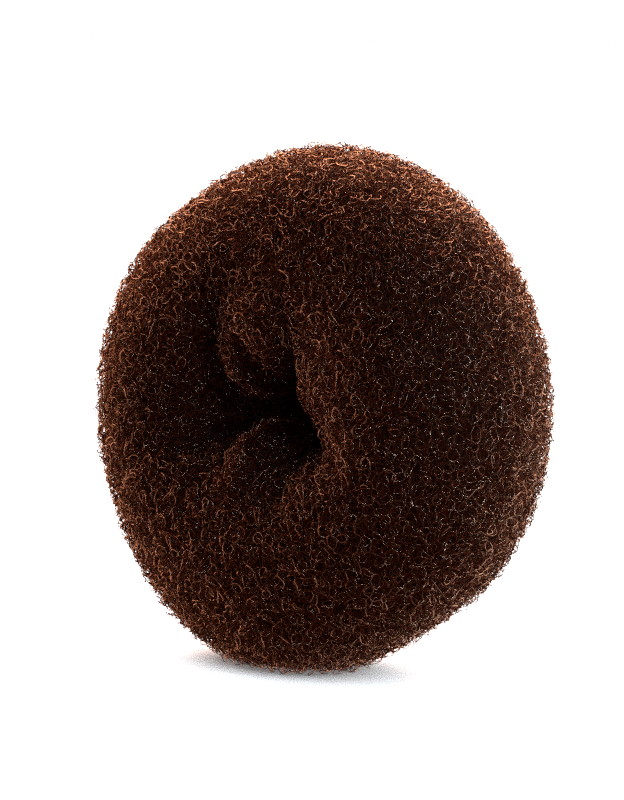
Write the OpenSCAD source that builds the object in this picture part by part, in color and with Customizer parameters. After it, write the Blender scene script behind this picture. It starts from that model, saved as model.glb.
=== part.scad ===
// Hair donut: a knitted nylon mesh tube, rolled up on itself into one soft, springy
// ring. It stands on its squashed rim and leans back a little. The hole through its
// middle is drawn in by folds, which part when hair is pulled through.

/* [Ring] */
// Diameter across the rim
ring_d = 85; // [65:1:110]
// Thickness between the two faces
ring_h = 38; // [28:1:48]
// Diameter of the hole at its throat, before the folds draw it in
hole_d = 8.5; // [7:0.5:14]

/* [Folds] */
// Depth of a full crease in the mouth of the hole
fold_depth = 6; // [2:0.5:8]
// Softness of the change from one section of the ring to the next, in degrees
section_reach = 21; // [18:1:30]

/* [Standing] */
// Depth of rim that is squashed flat against the floor
foot_squash = 2; // [1:0.25:4]
// Lean backwards, in degrees
lean = 6; // [0:1:9]

/* [Facets] */
// Sections round the ring
ring_facets = 84; // [48:4:88]
// Points round each section
section_facets = 66; // [40:2:68]

/* [Hidden] */

// Colour of the mesh, as it looks in the shade
mesh_colour = [0.24, 0.13, 0.08];

rim_r = ring_d / 2;
hole_r = hole_d / 2;
// Radius of the circle that the middle of the rolled tube follows
tube_path_r = (rim_r + hole_r) / 2;
face_h = ring_h / 2;
// How far the points round a section gather towards the hole, where the folds are
gathering = 30;

// The ring's sections. Angles run round the ring from its right side, over the top.
// The rest are shares: of the rim's radius, of the hole's radius, and of half the
// thickness, towards the front and towards the back.
ANGLE = 0;
RIM = 1;
HOLE = 2;
FRONT = 3;
BACK = 4;
sections = [
    // angle, rim, hole, front, back
    [0, 1.00, 0.95, 1.00, 1.01],
    [30, 1.00, 0.75, 1.01, 1.00],
    [60, 1.01, 1.25, 1.00, 0.99],
    [90, 1.01, 1.30, 0.99, 1.00],
    [120, 0.98, 1.30, 0.99, 1.02],
    [150, 1.02, 1.20, 1.00, 1.01],
    [180, 1.00, 1.45, 1.00, 0.99],
    [210, 0.97, 1.25, 0.99, 0.98],
    [240, 1.02, 0.75, 1.00, 1.00],
    [270, 1.03, 0.55, 1.01, 1.01],
    [300, 0.94, 0.70, 1.01, 0.99],
    [330, 1.00, 1.20, 1.00, 1.00],
];

// The folds: where each lies round the ring, its slant, its half width round the
// ring, where it lies round the section, its half width there, and its depth as a
// share of a full crease. The slant is how far it strays round the ring for each
// degree round the section, and a negative depth is a lobe puffed out between two
// creases. Round the section 90 is the back face, 180 the hole and 270 the front.
SLANT = 1;
RING_WIDTH = 2;
PLACE = 3;
PLACE_WIDTH = 4;
DEPTH = 5;
folds = [
    // angle, slant, ring width, place, place width, depth
    [152, -1.3, 15, 230, 24, 0.75],
    [180, 0, 20, 228, 34, 0.45],
    [138, -0.4, 18, 214, 20, -0.95],
    [88, 0, 22, 222, 24, -0.80],
    [96, -0.5, 7, 212, 16, 0.35],
    [202, 0, 9, 220, 30, 0.60],
    [256, 0, 22, 218, 24, -0.85],
    [314, -0.5, 9, 218, 22, 0.40],
    [336, 0, 16, 220, 30, 0.60],
    [18, 0, 22, 224, 28, -0.25],
    [40, 0.3, 9, 130, 30, 0.45],
    [150, 0.3, 9, 134, 32, 0.50],
    [222, 0.3, 8, 130, 30, 0.40],
    [290, 0.3, 9, 134, 32, 0.50],
    [95, 0, 30, 150, 26, 0.35],
];

// Falls from 1 to 1/e as the angle off grows to reach, and reads whole turns as none
function near(off, reach) = exp((cos(off) - 1) / (1 - cos(reach)));

// Value of a column of the sections at ring angle a
function section_share(column, a) =
    let (weights = [for (s = sections) near(a - s[ANGLE], section_reach)])
    weights * [for (s = sections) s[column]] / (weights * [for (s = sections) 1]);

// Depth at ring angle a and place p round the section, of one fold and of them all
function one_fold(f, a, p) =
    let (off_place = p - f[PLACE], off_angle = a - f[ANGLE] - f[SLANT] * off_place)
    f[DEPTH] * near(off_place, f[PLACE_WIDTH]) * near(off_angle, f[RING_WIDTH]);
function fold_at(a, p) =
    fold_depth * ([for (f = folds) one_fold(f, a, p)] * [for (f = folds) 1]);

// Point of the section at ring angle a, as [distance from the ring's axis, depth]
function section_point(a, p, reaches) =
    let (
        across = cos(p) > 0 ? reaches[0] - tube_path_r : tube_path_r - reaches[1],
        along = sin(p) > 0 ? reaches[3] : reaches[2],
        from_path = [across * cos(p), along * sin(p)],
        drawn_in = 1 - fold_at(a, p) / norm(from_path)
    )
    [tube_path_r, 0] + drawn_in * from_path;

// All points of the ring before it stands, a row for each section
function ring_points() = [
    for (i = [0 : ring_facets - 1])
        let (
            a = 360 * i / ring_facets,
            reaches = [
                rim_r * section_share(RIM, a),
                hole_r * section_share(HOLE, a),
                face_h * section_share(FRONT, a),
                face_h * section_share(BACK, a),
            ]
        )
        for (j = [0 : section_facets - 1])
            let (
                turn = 360 * j / section_facets,
                p = section_point(a, turn + gathering * sin(turn), reaches)
            )
            [p[0] * cos(a), p[1], p[0] * sin(a)]
];

// The points leant back, then pressed onto the floor and moved to the middle of it
function leant(points) = [
    for (p = points)
        [p[0], p[1] * cos(lean) + p[2] * sin(lean), p[2] * cos(lean) - p[1] * sin(lean)]
];
function column(points, i) = [for (p = points) p[i]];
function middle(values) = (min(values) + max(values)) / 2;
function stood(points) =
    let (
        floor_z = min(column(points, 2)) + foot_squash,
        mid_x = middle(column(points, 0)),
        mid_y = middle(column(points, 1))
    )
    [for (p = points) [p[0] - mid_x, p[1] - mid_y, max(p[2] - floor_z, 0)]];

// The facets, each split into two triangles along the way that the folds slant: one
// way on the back, where j runs to half the section, and the other on the front
function facets() = [
    for (i = [0 : ring_facets - 1], j = [0 : section_facets - 1])
        let (
            next_i = (i + 1) % ring_facets,
            next_j = (j + 1) % section_facets,
            here = i * section_facets + j,
            up = i * section_facets + next_j,
            beside = next_i * section_facets + j,
            across = next_i * section_facets + next_j,
            on_back = j < section_facets / 2
        )
        each on_back
            ? [[here, beside, across], [here, across, up]]
            : [[here, beside, up], [beside, across, up]]
];

// The rolled mesh, one soft ring
module mesh_ring() {
    color(mesh_colour)
        polyhedron(points = stood(leant(ring_points())), faces = facets());
}

mesh_ring();
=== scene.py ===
# Hair donut of brown knitted nylon mesh, standing on its rim on a pale floor
import math
import bmesh
import bpy
import numpy as np
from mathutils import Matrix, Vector


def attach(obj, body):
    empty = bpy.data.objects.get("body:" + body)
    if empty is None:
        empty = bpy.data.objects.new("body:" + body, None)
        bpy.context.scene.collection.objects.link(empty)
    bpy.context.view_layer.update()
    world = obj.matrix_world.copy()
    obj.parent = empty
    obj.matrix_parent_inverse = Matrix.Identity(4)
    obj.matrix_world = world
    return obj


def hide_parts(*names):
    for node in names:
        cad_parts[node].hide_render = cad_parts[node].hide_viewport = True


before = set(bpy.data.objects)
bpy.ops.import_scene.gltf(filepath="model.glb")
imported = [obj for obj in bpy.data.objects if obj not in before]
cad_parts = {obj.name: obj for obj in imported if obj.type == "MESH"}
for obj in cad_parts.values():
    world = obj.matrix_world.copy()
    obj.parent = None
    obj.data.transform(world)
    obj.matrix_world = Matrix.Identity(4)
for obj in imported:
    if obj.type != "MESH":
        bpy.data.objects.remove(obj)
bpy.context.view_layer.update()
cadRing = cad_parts["mesh_ring"]
scene = bpy.context.scene
print("frame loaded")


def hexColour(code):
    # "#7a3c1c" as the linear colour that a shader takes
    shares = [int(code[i:i + 2], 16) / 255 for i in (1, 3, 5)]
    linear = [c / 12.92 if c <= 0.04045 else ((c + 0.055) / 1.055) ** 2.4 for c in shares]
    return (*linear, 1.0)


def addNode(tree, kind, inputs=None, **settings):
    # An input is a value, an output to link, or a node whose first output is meant.
    # Inputs that share a name go by number: 6 and 7 are the two colours of a Mix, and
    # 2 and 3 the least and the most of a random number.
    node = tree.nodes.new(kind)
    for name, value in settings.items():
        setattr(node, name, value)
    for socket, value in (inputs or {}).items():
        if isinstance(value, bpy.types.Node):
            value = value.outputs[0]
        if isinstance(value, bpy.types.NodeSocket):
            tree.links.new(value, node.inputs[socket])
        else:
            node.inputs[socket].default_value = value
    return node


def newMaterial(name):
    material = bpy.data.materials.new(name)
    material.use_nodes = True
    return material, material.node_tree, material.node_tree.nodes["Principled BSDF"]


noiseSpan = dict(low=0.35, high=0.65)  # nearly all of a noise's values lie in here


def driftOf(tree, patch, low, high):
    # A value that drifts over the piece from low to high, in patches of that size
    place = addNode(tree, "ShaderNodeTexCoord").outputs["Object"]
    noise = addNode(tree, "ShaderNodeTexNoise", {
        "Vector": place, "Scale": 1 / patch, "Detail": 2.0})
    drift = addNode(tree, "ShaderNodeMapRange", {
        "Value": noise.outputs["Fac"], "From Min": noiseSpan["low"],
        "From Max": noiseSpan["high"], "To Min": low, "To Max": high})
    return drift.outputs["Result"]


# Nylon monofilament, spun-dyed brown and drawn smooth: warm, with sharp white glints
# where it bends, and with tone and gloss that drift a little. The real drift along one
# strand is too fine to show, so its patches are as wide as one or two loops. Deeper in
# the roll the same nylon is drawn with painted shade: a touch redder, and with hardly a
# glint, for the light that it loses through the other strands.
nylon = dict(ior=1.53, tonePatch=0.004, roughPatch=0.002, roughDrift=0.03)
outerFinish = dict(name="brown_nylon_monofilament",
                   dark="#542813", light="#623119", shine=1.0, rough=0.19)
# A shaded copy of the outer finish: its redder colours and low shine are painted shade
innerShadedFinish = dict(name="brown_nylon_monofilament_in_shade",
                   dark="#562610", light="#632e15", shine=0.20, rough=0.30)


def makeStrandMaterial(finish):
    material, tree, shader = newMaterial(finish["name"])
    tone = driftOf(tree, nylon["tonePatch"], 0.0, 1.0)
    colour = addNode(tree, "ShaderNodeMix", {
        0: tone, 6: hexColour(finish["dark"]), 7: hexColour(finish["light"])},
        data_type="RGBA")
    rough = driftOf(tree, nylon["roughPatch"], finish["rough"] - nylon["roughDrift"],
                    finish["rough"] + nylon["roughDrift"])
    tree.links.new(colour.outputs[2], shader.inputs["Base Color"])
    tree.links.new(rough, shader.inputs["Roughness"])
    shader.inputs["IOR"].default_value = nylon["ior"]
    shader.inputs["Specular IOR Level"].default_value = finish["shine"]
    return material


# The same nylon deep in the roll, where little light gets, drawn dark as painted shade:
# matt, nearly black in its gaps, with the meshes of the next layers of knit, 1.4 mm wide,
# as a faint dark red net. A strand of it is solid up to edge from its middle and gone at
# fade, in cells.
bodyShadedFinish = dict(gap="#1f0703", strand="#451c0b", rough=0.75, shine=0.1,
                  cell=0.0014, edge=0.04, fade=0.14, relief=0.0003, bump=0.6)


def makeBodyMaterial():
    material, tree, shader = newMaterial("brown_nylon_mesh_in_shade")
    place = addNode(tree, "ShaderNodeTexCoord").outputs["Object"]
    cells = addNode(tree, "ShaderNodeTexVoronoi", {
        "Vector": place, "Scale": 1 / bodyShadedFinish["cell"]}, feature="DISTANCE_TO_EDGE")
    net = addNode(tree, "ShaderNodeMapRange", {
        "Value": cells.outputs["Distance"], "From Min": bodyShadedFinish["edge"],
        "From Max": bodyShadedFinish["fade"], "To Min": 1.0, "To Max": 0.0}).outputs["Result"]
    # Painted shade: near black in the gaps and dark red on the net, for the depth of the roll
    colour = addNode(tree, "ShaderNodeMix", {
        0: net, 6: hexColour(bodyShadedFinish["gap"]), 7: hexColour(bodyShadedFinish["strand"])},
        data_type="RGBA")
    relief = addNode(tree, "ShaderNodeBump", {
        "Height": net, "Strength": bodyShadedFinish["bump"], "Distance": bodyShadedFinish["relief"]})
    tree.links.new(colour.outputs[2], shader.inputs["Base Color"])
    tree.links.new(relief.outputs["Normal"], shader.inputs["Normal"])
    shader.inputs["Roughness"].default_value = bodyShadedFinish["rough"]
    shader.inputs["Specular IOR Level"].default_value = bodyShadedFinish["shine"]
    return material


outerNylon = makeStrandMaterial(outerFinish)
innerShadedNylon = makeStrandMaterial(innerShadedFinish)
bodyShadedNylon = makeBodyMaterial()
print("materials made")


# The throat of the hole, where the folds of the real mesh meet, so that the skin is
# drawn together there, round an axis that leans back with the ring
throat = dict(
    x=0.0003, z=0.0433, lean=6.0,  # where the axis runs, and its lean in degrees
    start=0.0065, reach=0.0120,  # drawn in fully up to start from it, not past reach
    at=0.0080, full=0.0035, half=0.0075,  # fully up to full from at along it, not past half
    left=0.08,  # share of its distance from the axis that the skin keeps
    filled=0.75,  # share of the body's inset that is taken back, to fill the gap
)
mergeWithin = 1e-6


def fading(distance, full, none):
    # 1 up to full, 0 from none on, and a straight slope between them
    return np.clip((none - distance) / (none - full), 0, 1)


def ringSkin(name, inset):
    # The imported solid's skin as one smooth surface, moved inwards
    mesh = bpy.data.meshes.new(name)
    work = bmesh.new()
    work.from_mesh(cadRing.data)
    bmesh.ops.remove_doubles(work, verts=work.verts, dist=mergeWithin)
    work.normal_update()
    places = np.array([v.co[:] for v in work.verts])
    outwards = np.array([v.normal[:] for v in work.verts])
    lean = math.radians(throat["lean"])
    axis = np.array([0.0, math.cos(lean), -math.sin(lean)])
    fromHole = places - np.array([throat["x"], 0.0, throat["z"]])
    along = fromHole @ axis
    sideways = fromHole - along[:, None] * axis
    near = fading(np.linalg.norm(sideways, axis=1), throat["start"], throat["reach"])
    deep = fading(np.abs(along - throat["at"]), throat["full"], throat["half"])
    drawn = (near * deep) ** 2 * (3 - 2 * near * deep)  # with no kink at either end
    places -= sideways * ((1 - throat["left"]) * drawn)[:, None]
    places -= outwards * (inset * (1 - throat["filled"] * drawn))[:, None]
    places[:, 2] = np.maximum(places[:, 2], inset / 2)  # lifts the edge of the foot too
    for vertex, place in zip(work.verts, places):
        vertex.co = place
    for face in work.faces:
        face.smooth = True
    work.to_mesh(mesh)
    work.free()
    for layer in [a for a in mesh.attributes if a.name == "custom_normal"]:
        mesh.attributes.remove(layer)  # it is the solid's, and the shape has changed
    ring = bpy.data.objects.new(name, mesh)
    scene.collection.objects.link(ring)
    return ring


# The whole roll puffs out in domes as wide as a few stitches, with creases between
# them. The skin falls by height over one size from a dome's middle, and at the share
# level of that way it is where it was.
puff = dict(height=0.0009, size=0.0022, level=0.5)


def puffAt(tree, place):
    dome = addNode(tree, "ShaderNodeTexVoronoi", {
        "Vector": place, "Scale": 1 / puff["size"]}, feature="F1")
    rise = addNode(tree, "ShaderNodeMath", {
        0: puff["level"], 1: dome.outputs["Distance"]}, operation="SUBTRACT")
    return addNode(tree, "ShaderNodeMath", {0: rise, 1: puff["height"]}, operation="MULTIPLY")


def newNodeTree(name, floats=(), whole=()):
    tree = bpy.data.node_groups.new(name, "GeometryNodeTree")
    sockets = tree.interface
    sockets.new_socket("Geometry", in_out="OUTPUT", socket_type="NodeSocketGeometry")
    sockets.new_socket("Geometry", in_out="INPUT", socket_type="NodeSocketGeometry")
    for label in floats:
        sockets.new_socket(label, in_out="INPUT", socket_type="NodeSocketFloat")
    for label in whole:
        sockets.new_socket(label, in_out="INPUT", socket_type="NodeSocketInt")
    return tree, addNode(tree, "NodeGroupInput").outputs


def endNodeTree(tree, geometry, material):
    whole = addNode(tree, "GeometryNodeRealizeInstances", {"Geometry": geometry})
    dressed = addNode(tree, "GeometryNodeSetMaterial", {
        "Geometry": whole, "Material": material})
    addNode(tree, "NodeGroupOutput", {"Geometry": dressed})


def keepAbove(tree, geometry, lowest):
    # Lifts what is lower than that. X and Y are left, as nothing reaches a metre out.
    place = addNode(tree, "GeometryNodeInputPosition")
    least = addNode(tree, "ShaderNodeCombineXYZ", {"X": -1.0, "Y": -1.0, "Z": lowest})
    lifted = addNode(tree, "ShaderNodeVectorMath", {0: place, 1: least}, operation="MAXIMUM")
    return addNode(tree, "GeometryNodeSetPosition", {"Geometry": geometry, "Position": lifted})


def grow(piece, tree, values):
    # Runs the tree on the piece, keeps what it makes as plain mesh and prints its size
    modifier = piece.modifiers.new(tree.name, "NODES")
    modifier.node_group = tree
    for socket in tree.interface.items_tree:
        if socket.in_out == "INPUT" and socket.name in values:
            modifier[socket.identifier] = values[socket.name]
    graph = bpy.context.evaluated_depsgraph_get()
    mesh = bpy.data.meshes.new_from_object(piece.evaluated_get(graph), depsgraph=graph)
    piece.modifiers.clear()
    piece.data = mesh
    print(piece.name, sum(len(p.vertices) - 2 for p in mesh.polygons), "triangles")
    return piece


body = {"Inset": 0.0014, "Lowest": 0.0005}  # below the skin, and above the floor


def makeBodyTree():
    # The domes are read at the outer skin, so that the body puffs out with the knit
    tree, given = newNodeTree("puffed_body", ["Inset", "Lowest"])
    fine = addNode(tree, "GeometryNodeSubdivisionSurface", {
        "Mesh": given["Geometry"], "Level": 1})
    normal = addNode(tree, "GeometryNodeInputNormal")
    place = addNode(tree, "GeometryNodeInputPosition")
    skin = addNode(tree, "ShaderNodeVectorMath", {0: normal, "Scale": given["Inset"]},
                   operation="SCALE")
    skin = addNode(tree, "ShaderNodeVectorMath", {0: skin, 1: place}, operation="ADD")
    rise = addNode(tree, "ShaderNodeVectorMath", {0: normal, "Scale": puffAt(tree, skin)},
                   operation="SCALE")
    puffed = addNode(tree, "GeometryNodeSetPosition", {"Geometry": fine, "Offset": rise})
    endNodeTree(tree, keepAbove(tree, puffed, given["Lowest"]), bodyShadedNylon)
    return tree


# The body under the knit, coloured with painted shade for the depth of the roll
meshBody = grow(ringSkin("mesh_body", body["Inset"]), makeBodyTree(), body)
print("body of the roll made")


# The knit. The real filament runs on from loop to loop, and here each loop is closed by
# itself. Each layer scatters its loops evenly over the skin, and each loop leans, turns
# and wanders in its own way. A shape is given in radii of its loop, with how often it
# rises and sways on the way round, and with the share of the loops that have it.
loopShapes = [
    dict(long=1.0, wide=1.0, rises=2, rise=0.25, sways=0, sway=0.0, share=0.45),
    dict(long=1.3, wide=0.75, rises=1, rise=0.40, sways=0, sway=0.0, share=0.30),
    dict(long=1.75, wide=0.55, rises=2, rise=0.35, sways=3, sway=0.22, share=0.25),
]
knitSizes = {
    "Spacing": 0.00161,  # the least between two loops
    "Crowding": 2.2,  # tries for each square of that, as some land too close
    "Lean": 0.45,  # the most, in radians
    "Loop radius": 0.00086,
    "Smallest loop": 0.65,  # in loop radii, as the largest is
    "Largest loop": 1.30,
    "Points": 8,  # round each loop
    "Wander": 0.0005,
    "Wander size": 0.0015,
}
# How far below the skin each layer lies, and its filament, which is thinner deeper in
# the roll so that the gaps between the outer strands stay dark
knitLayers = [
    {"name": "knit_outer", "finish": "outer", "Seed": 11,
     "Shallowest": 0.0001, "Deepest": 0.0005, "Strand radius": 0.000072},
    {"name": "knit_second", "finish": "outer", "Seed": 12,
     "Shallowest": 0.0003, "Deepest": 0.0008, "Strand radius": 0.000068},
    {"name": "knit_third", "finish": "inner", "Seed": 13,
     "Shallowest": 0.0006, "Deepest": 0.0010, "Strand radius": 0.000062},
    {"name": "knit_fourth", "finish": "inner", "Seed": 14,
     "Shallowest": 0.0008, "Deepest": 0.0012, "Strand radius": 0.000062},
    {"name": "knit_inner", "finish": "inner", "Seed": 15,
     "Shallowest": 0.0010, "Deepest": 0.0014, "Strand radius": 0.000062},
]
seedStep = 100.0  # between the seeds of one layer
strandSides = 3  # enough for a filament that is about a pixel wide


def waveAlong(tree, times, height):
    # Goes up and down that many times on the way round the loop
    way = addNode(tree, "GeometryNodeSplineParameter").outputs["Factor"]
    wave = addNode(tree, "ShaderNodeMath", {0: way, 1: times * 2 * math.pi},
                   operation="MULTIPLY")
    wave = addNode(tree, "ShaderNodeMath", {0: wave}, operation="SINE")
    return addNode(tree, "ShaderNodeMath", {0: wave, 1: height}, operation="MULTIPLY")


def loopShape(tree, shape, radius, points):
    # A closed loop that sways in its own plane and rises out of it
    circle = addNode(tree, "GeometryNodeCurvePrimitiveCircle", {
        "Resolution": points, "Radius": radius})
    stretched = addNode(tree, "GeometryNodeTransform", {
        "Geometry": circle, "Scale": (shape["long"], shape["wide"], 1.0)})
    shift = addNode(tree, "ShaderNodeCombineXYZ", {
        "Y": waveAlong(tree, shape["sways"], shape["sway"]),
        "Z": waveAlong(tree, shape["rises"], shape["rise"])})
    shift = addNode(tree, "ShaderNodeVectorMath", {0: shift, "Scale": radius}, operation="SCALE")
    bent = addNode(tree, "GeometryNodeSetPosition", {"Geometry": stretched, "Offset": shift})
    return addNode(tree, "GeometryNodeGeometryToInstance", {"Geometry": bent}).outputs[0]


def scatterSpots(tree, given, seeds):
    # Places for the loops, evenly over the skin and each a little below it
    density = addNode(tree, "ShaderNodeMath", {0: given["Spacing"], 1: -2.0}, operation="POWER")
    density = addNode(tree, "ShaderNodeMath", {0: density, 1: given["Crowding"]},
                      operation="MULTIPLY")
    scatter = addNode(tree, "GeometryNodeDistributePointsOnFaces", {
        "Mesh": given["Geometry"], "Distance Min": given["Spacing"],
        "Density Max": density, "Seed": seeds["place"]}, distribute_method="POISSON")
    outwards = scatter.outputs["Normal"]
    depth = addNode(tree, "FunctionNodeRandomValue", {
        2: given["Shallowest"], 3: given["Deepest"], "Seed": seeds["depth"]}).outputs[1]
    rise = addNode(tree, "ShaderNodeMath", {0: depth, 1: -1.0}, operation="MULTIPLY")
    sink = addNode(tree, "ShaderNodeVectorMath", {0: outwards, "Scale": rise}, operation="SCALE")
    spots = addNode(tree, "GeometryNodeSetPosition", {
        "Geometry": scatter.outputs["Points"], "Offset": sink})
    spots = addNode(tree, "GeometryNodeStoreNamedAttribute", {
        "Geometry": spots, "Name": "outwards", "Value": outwards},
        data_type="FLOAT_VECTOR", domain="POINT")
    return spots, scatter.outputs["Rotation"]


def chooseShape(tree, seeds):
    # A number by lot for each spot, 0 to 2, with the shares of the three shapes
    first, second = loopShapes[0]["share"], loopShapes[1]["share"]
    draw = addNode(tree, "FunctionNodeRandomValue", {
        2: 0.0, 3: 1.0, "Seed": seeds["shape"]}).outputs[1]
    pastFirst = addNode(tree, "ShaderNodeMath", {0: draw, 1: first}, operation="GREATER_THAN")
    pastSecond = addNode(tree, "ShaderNodeMath", {0: draw, 1: first + second},
                         operation="GREATER_THAN")
    return addNode(tree, "ShaderNodeMath", {0: pastFirst, 1: pastSecond}, operation="ADD")


def leanAndTurn(tree, given, seeds, upright):
    # Each loop leans a little to any side and is turned any way
    lowest = addNode(tree, "ShaderNodeMath", {0: given["Lean"], 1: -1.0}, operation="MULTIPLY")
    leanFrom = addNode(tree, "ShaderNodeCombineXYZ", {"X": lowest, "Y": lowest, "Z": -math.pi})
    leanTo = addNode(tree, "ShaderNodeCombineXYZ", {
        "X": given["Lean"], "Y": given["Lean"], "Z": math.pi})
    lean = addNode(tree, "FunctionNodeRandomValue", {
        "Min": leanFrom, "Max": leanTo, "Seed": seeds["lean"]}, data_type="FLOAT_VECTOR")
    lean = addNode(tree, "FunctionNodeEulerToRotation", {"Euler": lean})
    return addNode(tree, "FunctionNodeRotateRotation", {
        "Rotation": upright, "Rotate By": lean}, rotation_space="LOCAL")


def strayOff(tree, loops, given, seeds):
    # Every strand follows the domes, then wanders in a way of its layer's own
    place = addNode(tree, "GeometryNodeInputPosition")
    outwards = addNode(tree, "GeometryNodeInputNamedAttribute", {"Name": "outwards"},
                       data_type="FLOAT_VECTOR")
    rise = addNode(tree, "ShaderNodeVectorMath", {0: outwards, "Scale": puffAt(tree, place)},
                   operation="SCALE")
    loops = addNode(tree, "GeometryNodeSetPosition", {"Geometry": loops, "Offset": rise})
    apart = addNode(tree, "ShaderNodeCombineXYZ", {"X": seeds["place"]})
    apart = addNode(tree, "ShaderNodeVectorMath", {0: apart, 1: place}, operation="ADD")
    finer = addNode(tree, "ShaderNodeMath", {0: 1.0, 1: given["Wander size"]},
                    operation="DIVIDE")
    noise = addNode(tree, "ShaderNodeTexNoise", {
        "Vector": apart, "Scale": finer, "Detail": 1.0}).outputs["Color"]
    middle = (0.5, 0.5, 0.5)  # of the noise
    wander = addNode(tree, "ShaderNodeVectorMath", {0: noise, 1: middle},
                     operation="SUBTRACT")
    wander = addNode(tree, "ShaderNodeVectorMath", {0: wander, "Scale": given["Wander"]},
                     operation="SCALE")
    return addNode(tree, "GeometryNodeSetPosition", {"Geometry": loops, "Offset": wander})


def makeKnitTree(name, material):
    tree, given = newNodeTree(name, [
        "Spacing", "Crowding", "Lean", "Loop radius", "Smallest loop", "Largest loop", "Wander",
        "Wander size", "Shallowest", "Deepest", "Strand radius"], ["Points", "Seed"])
    seeds = {}
    for i, drawn in enumerate(["place", "depth", "shape", "lean", "size"]):
        seeds[drawn] = addNode(tree, "ShaderNodeMath", {0: given["Seed"], 1: seedStep * i},
                               operation="ADD")
    spots, upright = scatterSpots(tree, given, seeds)
    shapes = addNode(tree, "GeometryNodeJoinGeometry")
    for shape in reversed(loopShapes):  # the last one linked comes first
        tree.links.new(loopShape(tree, shape, given["Loop radius"], given["Points"]),
                       shapes.inputs[0])
    # Each loop has its own size along and across it
    size = addNode(tree, "FunctionNodeRandomValue", {
        "Min": given["Smallest loop"], "Max": given["Largest loop"],
        "Seed": seeds["size"]}, data_type="FLOAT_VECTOR")
    loops = addNode(tree, "GeometryNodeInstanceOnPoints", {
        "Points": spots, "Instance": shapes, "Pick Instance": True,
        "Instance Index": chooseShape(tree, seeds),
        "Rotation": leanAndTurn(tree, given, seeds, upright), "Scale": size})
    loops = addNode(tree, "GeometryNodeRealizeInstances", {"Geometry": loops})
    loops = strayOff(tree, loops, given, seeds)
    loops = keepAbove(tree, loops, given["Strand radius"])
    profile = addNode(tree, "GeometryNodeCurvePrimitiveCircle", {
        "Resolution": strandSides, "Radius": given["Strand radius"]})
    strands = addNode(tree, "GeometryNodeCurveToMesh", {
        "Curve": loops, "Profile Curve": profile})
    strands = addNode(tree, "GeometryNodeSetShadeSmooth", {"Geometry": strands})
    strands = addNode(tree, "GeometryNodeRemoveAttribute", {
        "Geometry": strands, "Name": "outwards"})
    endNodeTree(tree, strands, material)
    return tree


knitTrees = {
    "outer": makeKnitTree("knitted_loops", outerNylon),
    # The deeper layers get the copy of the nylon with painted shade
    "inner": makeKnitTree("knitted_loops_in_shade", innerShadedNylon),
}
knit = [grow(ringSkin(layer["name"], 0.0), knitTrees[layer["finish"]], {**knitSizes, **layer})
        for layer in knitLayers]
print("knit made")


# Camera at the photo's angle: its turn and rise are in degrees and its lens is in
# millimetres. Right and up move it until the ring stands where the photo has it.
view = dict(turn=41.0, rise=6.5, distance=0.6, lens=168.5, middle=(0.0, 0.0, 0.041),
            right=-0.00101, up=0.00178, nearest=0.01)
turn, rise = math.radians(view["turn"]), math.radians(view["rise"])
toRight = Vector((math.cos(turn), math.sin(turn), 0.0))
toCamera = Vector((math.sin(turn), -math.cos(turn), 0.0))  # along the floor


def holderOf(data, place, aim):
    # An object at that place for a camera or a light, which looks along aim
    holder = bpy.data.objects.new(data.name, data)
    scene.collection.objects.link(holder)
    holder.location = place
    holder.rotation_euler = aim.to_track_quat("-Z", "Y").to_euler()
    return holder


def makeCamera():
    camera = bpy.data.cameras.new("camera")
    camera.lens = view["lens"]
    camera.clip_start = view["nearest"]
    backwards = toCamera * math.cos(rise) + Vector((0.0, 0.0, math.sin(rise)))
    upwards = backwards.cross(toRight)
    place = (Vector(view["middle"]) + toRight * view["right"] + upwards * view["up"]
             + backwards * view["distance"])
    scene.camera = holderOf(camera, place, -backwards)


# A sweep of matt white paper, overexposed as in the photo. It glows a little too, which
# leaves only the deepest shade, close to the ring.
paper = dict(half=3.0, colour="#868b8f", rough=0.95, roughDrift=0.03, patch=0.05, glow=0.18)


def makePaper():
    half = paper["half"]
    mesh = bpy.data.meshes.new("paper_floor")
    mesh.from_pydata([(-half, -half, 0), (half, -half, 0), (half, half, 0), (-half, half, 0)],
                     [], [(0, 1, 2, 3)])
    sheet = bpy.data.objects.new("paper_floor", mesh)
    scene.collection.objects.link(sheet)
    material, tree, shader = newMaterial("matt_white_paper")
    rough = driftOf(tree, paper["patch"], paper["rough"] - paper["roughDrift"], paper["rough"])
    tree.links.new(rough, shader.inputs["Roughness"])
    shader.inputs["Base Color"].default_value = hexColour(paper["colour"])
    shader.inputs["Specular IOR Level"].default_value = 0.0
    shader.inputs["Emission Color"].default_value = hexColour("#ffffff")
    shader.inputs["Emission Strength"].default_value = paper["glow"]
    mesh.materials.append(material)
    # The ring neither mirrors it nor is lit by it
    sheet.visible_diffuse = sheet.visible_glossy = sheet.visible_transmission = False
    return sheet


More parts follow.
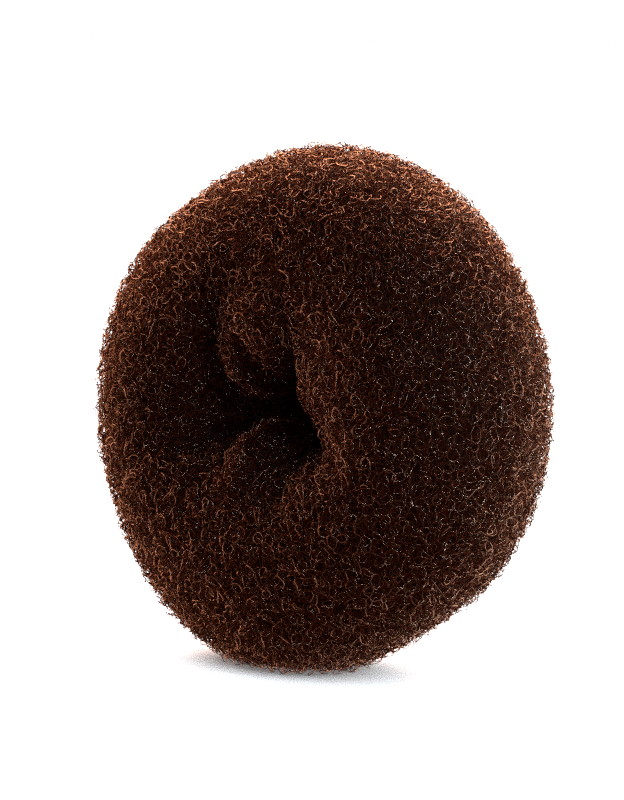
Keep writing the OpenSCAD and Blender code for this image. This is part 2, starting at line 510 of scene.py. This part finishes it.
# A light tent: soft panels at a distance, each brightest in one direction, which is
# given as shares to the right, towards the camera and up. The higher narrow is, the
# sooner a panel fades to its sides. All but the pale one on the right are warm, as if
# their light had come through brown nylon, and the strong ones behind the ring make
# its rim glow.
panels = [
    dict(name="behindUp", towards=(0, -1, 1), narrow=17, strength=35.0, colour="#ffaa7d"),
    dict(name="upLeft", towards=(-0.8, -0.8, 0.8), narrow=14, strength=4.2, colour="#ffad7e"),
    dict(name="behindLeft", towards=(-1, -0.8, 0), narrow=14, strength=9.0, colour="#ffa273"),
    dict(name="lowLeft", towards=(-1, -0.6, -0.5), narrow=12, strength=5.5, colour="#ffa87e"),
    dict(name="upRight", towards=(0.8, -0.8, 0.8), narrow=14, strength=1.8, colour="#ffbf99"),
    dict(name="besideRight", towards=(1, -0.75, 0.05), narrow=32, strength=22.5, colour="#ffbc95"),
    dict(name="lowRight", towards=(1, -0.6, -0.6), narrow=14, strength=10.0, colour="#ffc4a2"),
    dict(name="right", towards=(1, 0, 0), narrow=3, strength=0.15, colour="#fff1e5"),
    dict(name="below", towards=(0, 0, -1), narrow=2, strength=0.12, colour="#ffbc95"),
    dict(name="front", towards=(-0.1, 1, 0.3), narrow=3, strength=0.07, colour="#ffdabc"),
    dict(name="frontRight", towards=(0.9, 1, -0.1), narrow=4, strength=1.0, colour="#ffbc90"),
]
backdrop = "#ffffff"  # what the camera itself sees in place of the panels


def makeTent():
    world = bpy.data.worlds.new("light_tent")
    scene.world = world
    world.use_nodes = True
    tree = world.node_tree
    tree.nodes.clear()
    direction = addNode(tree, "ShaderNodeTexCoord").outputs["Generated"]
    glow = (0.0, 0.0, 0.0)
    for panel in panels:
        right, front, up = panel["towards"]
        towards = (toRight * right + toCamera * front + Vector((0, 0, up))).normalized()
        facing = addNode(tree, "ShaderNodeVectorMath", {0: direction, 1: towards},
                         operation="DOT_PRODUCT").outputs["Value"]
        facing = addNode(tree, "ShaderNodeMath", {0: facing, 1: 0.0}, operation="MAXIMUM")
        facing = addNode(tree, "ShaderNodeMath", {0: facing, 1: panel["narrow"]},
                         operation="POWER")
        facing = addNode(tree, "ShaderNodeMath", {0: facing, 1: panel["strength"]},
                         operation="MULTIPLY")
        light = addNode(tree, "ShaderNodeVectorMath", {
            0: hexColour(panel["colour"])[:3], "Scale": facing},
            operation="SCALE", label=panel["name"])
        glow = addNode(tree, "ShaderNodeVectorMath", {0: light, 1: glow}, operation="ADD")
    seen = addNode(tree, "ShaderNodeLightPath").outputs["Is Camera Ray"]
    shown = addNode(tree, "ShaderNodeMix", {0: seen, 6: glow, 7: hexColour(backdrop)},
                    data_type="RGBA").outputs[2]
    light = addNode(tree, "ShaderNodeBackground", {"Color": shown, "Strength": 1.0})
    addNode(tree, "ShaderNodeOutputWorld", {"Surface": light})


# Small bare lamps for the glints alone: to the right, towards the camera and up from
# the middle of the ring, in metres, and with their power in watts
lamps = [
    dict(name="lampFront", at=(0.10, 0.45, 0.45), size=0.13, power=1.8, colour="#fff1e5"),
    dict(name="lampRight", at=(0.50, 0.30, 0.20), size=0.08, power=2.1, colour="#fff1e5"),
    dict(name="lampLow", at=(0.15, 0.55, -0.10), size=0.11, power=1.3, colour="#fff1e5"),
    dict(name="lampLeft", at=(-0.30, 0.50, 0.15), size=0.06, power=0.1, colour="#fff1e5"),
]


def makeLamp(lamp):
    light = bpy.data.lights.new(lamp["name"], "AREA")
    light.size, light.energy = lamp["size"], lamp["power"]
    light.color = hexColour(lamp["colour"])[:3]
    right, front, up = lamp["at"]
    middle = Vector(view["middle"])
    place = middle + toRight * right + toCamera * front + Vector((0, 0, up))
    holderOf(light, place, middle - place).visible_diffuse = False


# A very wide soft light from above, a little from the right, for the floor alone
floorLight = dict(strength=32.0, spread=130.0, right=0.22)


def makeFloorLight(paperFloor):
    light = bpy.data.lights.new("floorLight", "SUN")
    light.energy, light.angle = floorLight["strength"], math.radians(floorLight["spread"])
    aim = -toRight * floorLight["right"] - Vector((0, 0, 1))
    floorOnly = bpy.data.collections.new("floor_only")
    floorOnly.objects.link(paperFloor)
    holder = holderOf(light, Vector((0, 0, 0)), aim)
    holder.light_linking.receiver_collection = floorOnly


makeCamera()
paperFloor = makePaper()
makeTent()
for lamp in lamps:
    makeLamp(lamp)
makeFloorLight(paperFloor)
scene.view_settings.view_transform = "Standard"
scene.cycles.use_denoising = False  # it wipes out single strands
print("camera, floor and lights made")

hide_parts("mesh_ring")
for piece in [meshBody] + knit:
    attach(piece, "root")
